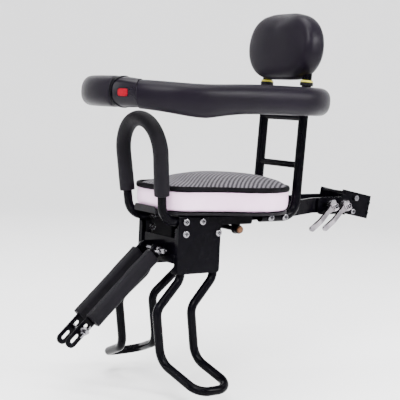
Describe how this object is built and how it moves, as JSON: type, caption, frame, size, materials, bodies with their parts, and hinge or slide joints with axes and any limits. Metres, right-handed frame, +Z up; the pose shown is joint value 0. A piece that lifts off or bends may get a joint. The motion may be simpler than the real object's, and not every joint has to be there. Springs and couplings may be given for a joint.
{
  "type": "child bike seat",
  "caption": "Padded child seat on a steel frame that clamps to a bicycle seat post, with a hinged guard ring, headrest, handle, foot rests and swinging support arms",
  "frame": {"origin": "on the seat post's axis, at the middle of the rear clamp", "axes": "+X points forwards along the bicycle, +Y to the rider's left, +Z up from the seat's base"},
  "size_m": [0.5971, 0.29, 0.5903],
  "materials": {
    "black_steel": "gloss powder coat",
    "zinc_steel": "bright zinc",
    "polished_alloy": "polished",
    "soft_skin": "satin moulded skin",
    "foam_rubber": "matte foam",
    "cushion_cover": "soft leatherette sides and a grey woven top",
    "black_plastic": "matte",
    "gloss_black": "gloss",
    "red_button": "gloss",
    "yellow_plastic": "gloss",
    "brown_brass": "dull"
  },
  "bodies": {
    "clamp": {"clamp_plate_left": "black_steel", "clamp_plate_right": "black_steel", "clamp_jaw_left": "black_steel", "clamp_jaw_right": "black_steel", "jaw_hex_screws": "zinc_steel", "jaw_pan_screws": "zinc_steel", "clamp_spacer": "black_steel", "clamp_rivets": "zinc_steel", "clamp_tie_pin": "zinc_steel"},
    "seat": {"rear_arm_left": "black_steel", "rear_arm_right": "black_steel", "skewers": "zinc_steel", "cam_pins": "zinc_steel", "cam_washers": "zinc_steel", "skewer_nuts": "polished_alloy", "base_bracket": "black_steel", "pan_screws": "zinc_steel", "seat_pan": "black_plastic", "seat_cushion": "cushion_cover", "tie_bolt": "zinc_steel", "tie_caps": "black_steel", "tie_ends": "brown_brass", "back_frame": "black_steel", "back_bolts": "zinc_steel", "back_nuts": "zinc_steel", "upright_sleeves": "black_plastic", "yellow_rings": "yellow_plastic", "headrest_pad": "soft_skin", "guard_pad": "soft_skin", "guard_core": "zinc_steel", "guard_screws": "zinc_steel", "latch_collar": "gloss_black", "button_spring": "zinc_steel", "hinge_collar": "gloss_black", "hinge_pin": "zinc_steel", "handle_tube": "black_steel", "handle_grip": "foam_rubber", "handle_bolts": "zinc_steel", "handle_nuts": "zinc_steel", "foot_loop_left": "black_steel", "foot_loop_right": "black_steel", "foot_bolts": "zinc_steel", "foot_nuts": "zinc_steel", "pivot_bracket": "black_steel", "pivot_bolt": "zinc_steel", "pivot_wing_nut": "zinc_steel"},
    "lever_front": {"quick_lever_front": "polished_alloy"},
    "lever_rear": {"quick_lever_rear": "polished_alloy"},
    "gate": {"gate_pad": "soft_skin", "gate_core": "zinc_steel", "gate_tongue": "black_steel", "gate_knuckle": "black_steel"},
    "button": {"release_button": "red_button"},
    "support": {"support_bar_left": "black_steel", "support_bar_right": "black_steel", "support_pad_left": "foam_rubber", "support_pad_right": "foam_rubber", "cross_bolt": "zinc_steel", "cross_wing_nut": "zinc_steel"}
  },
  "joints": [
    {"name": "seat_slide", "type": "slide", "parent": "clamp", "child": "seat", "axis": [1, 0, 0], "range_m": [0, 0.015]},
    {"name": "lever_front_cam", "type": "hinge", "parent": "seat", "child": "lever_front", "pos_m": [0.07, 0.04065, 0.003], "axis": [0.6018, 0, 0.7986], "range_deg": [0, 110]},
    {"name": "lever_rear_cam", "type": "hinge", "parent": "seat", "child": "lever_rear", "pos_m": [0.04, 0.04065, 0.003], "axis": [0.6018, 0, 0.7986], "range_deg": [0, 110]},
    {"name": "gate_hinge", "type": "hinge", "parent": "seat", "child": "gate", "pos_m": [0.39951, -0.112, 0.181], "axis": [0, 0, -1], "range_deg": [0, 90]},
    {"name": "button_press", "type": "slide", "parent": "seat", "child": "button", "axis": [-0.8815, -0.4721, 0], "range_m": [0, 0.003], "stiffness_N_per_m": 600, "springref_m": -0.002, "deforming": ["button_spring"]},
    {"name": "support_pivot", "type": "hinge", "parent": "seat", "child": "support", "pos_m": [0.417, 0, -0.06], "axis": [0, 1, 0], "range_deg": [-40, 40]}
  ]
}
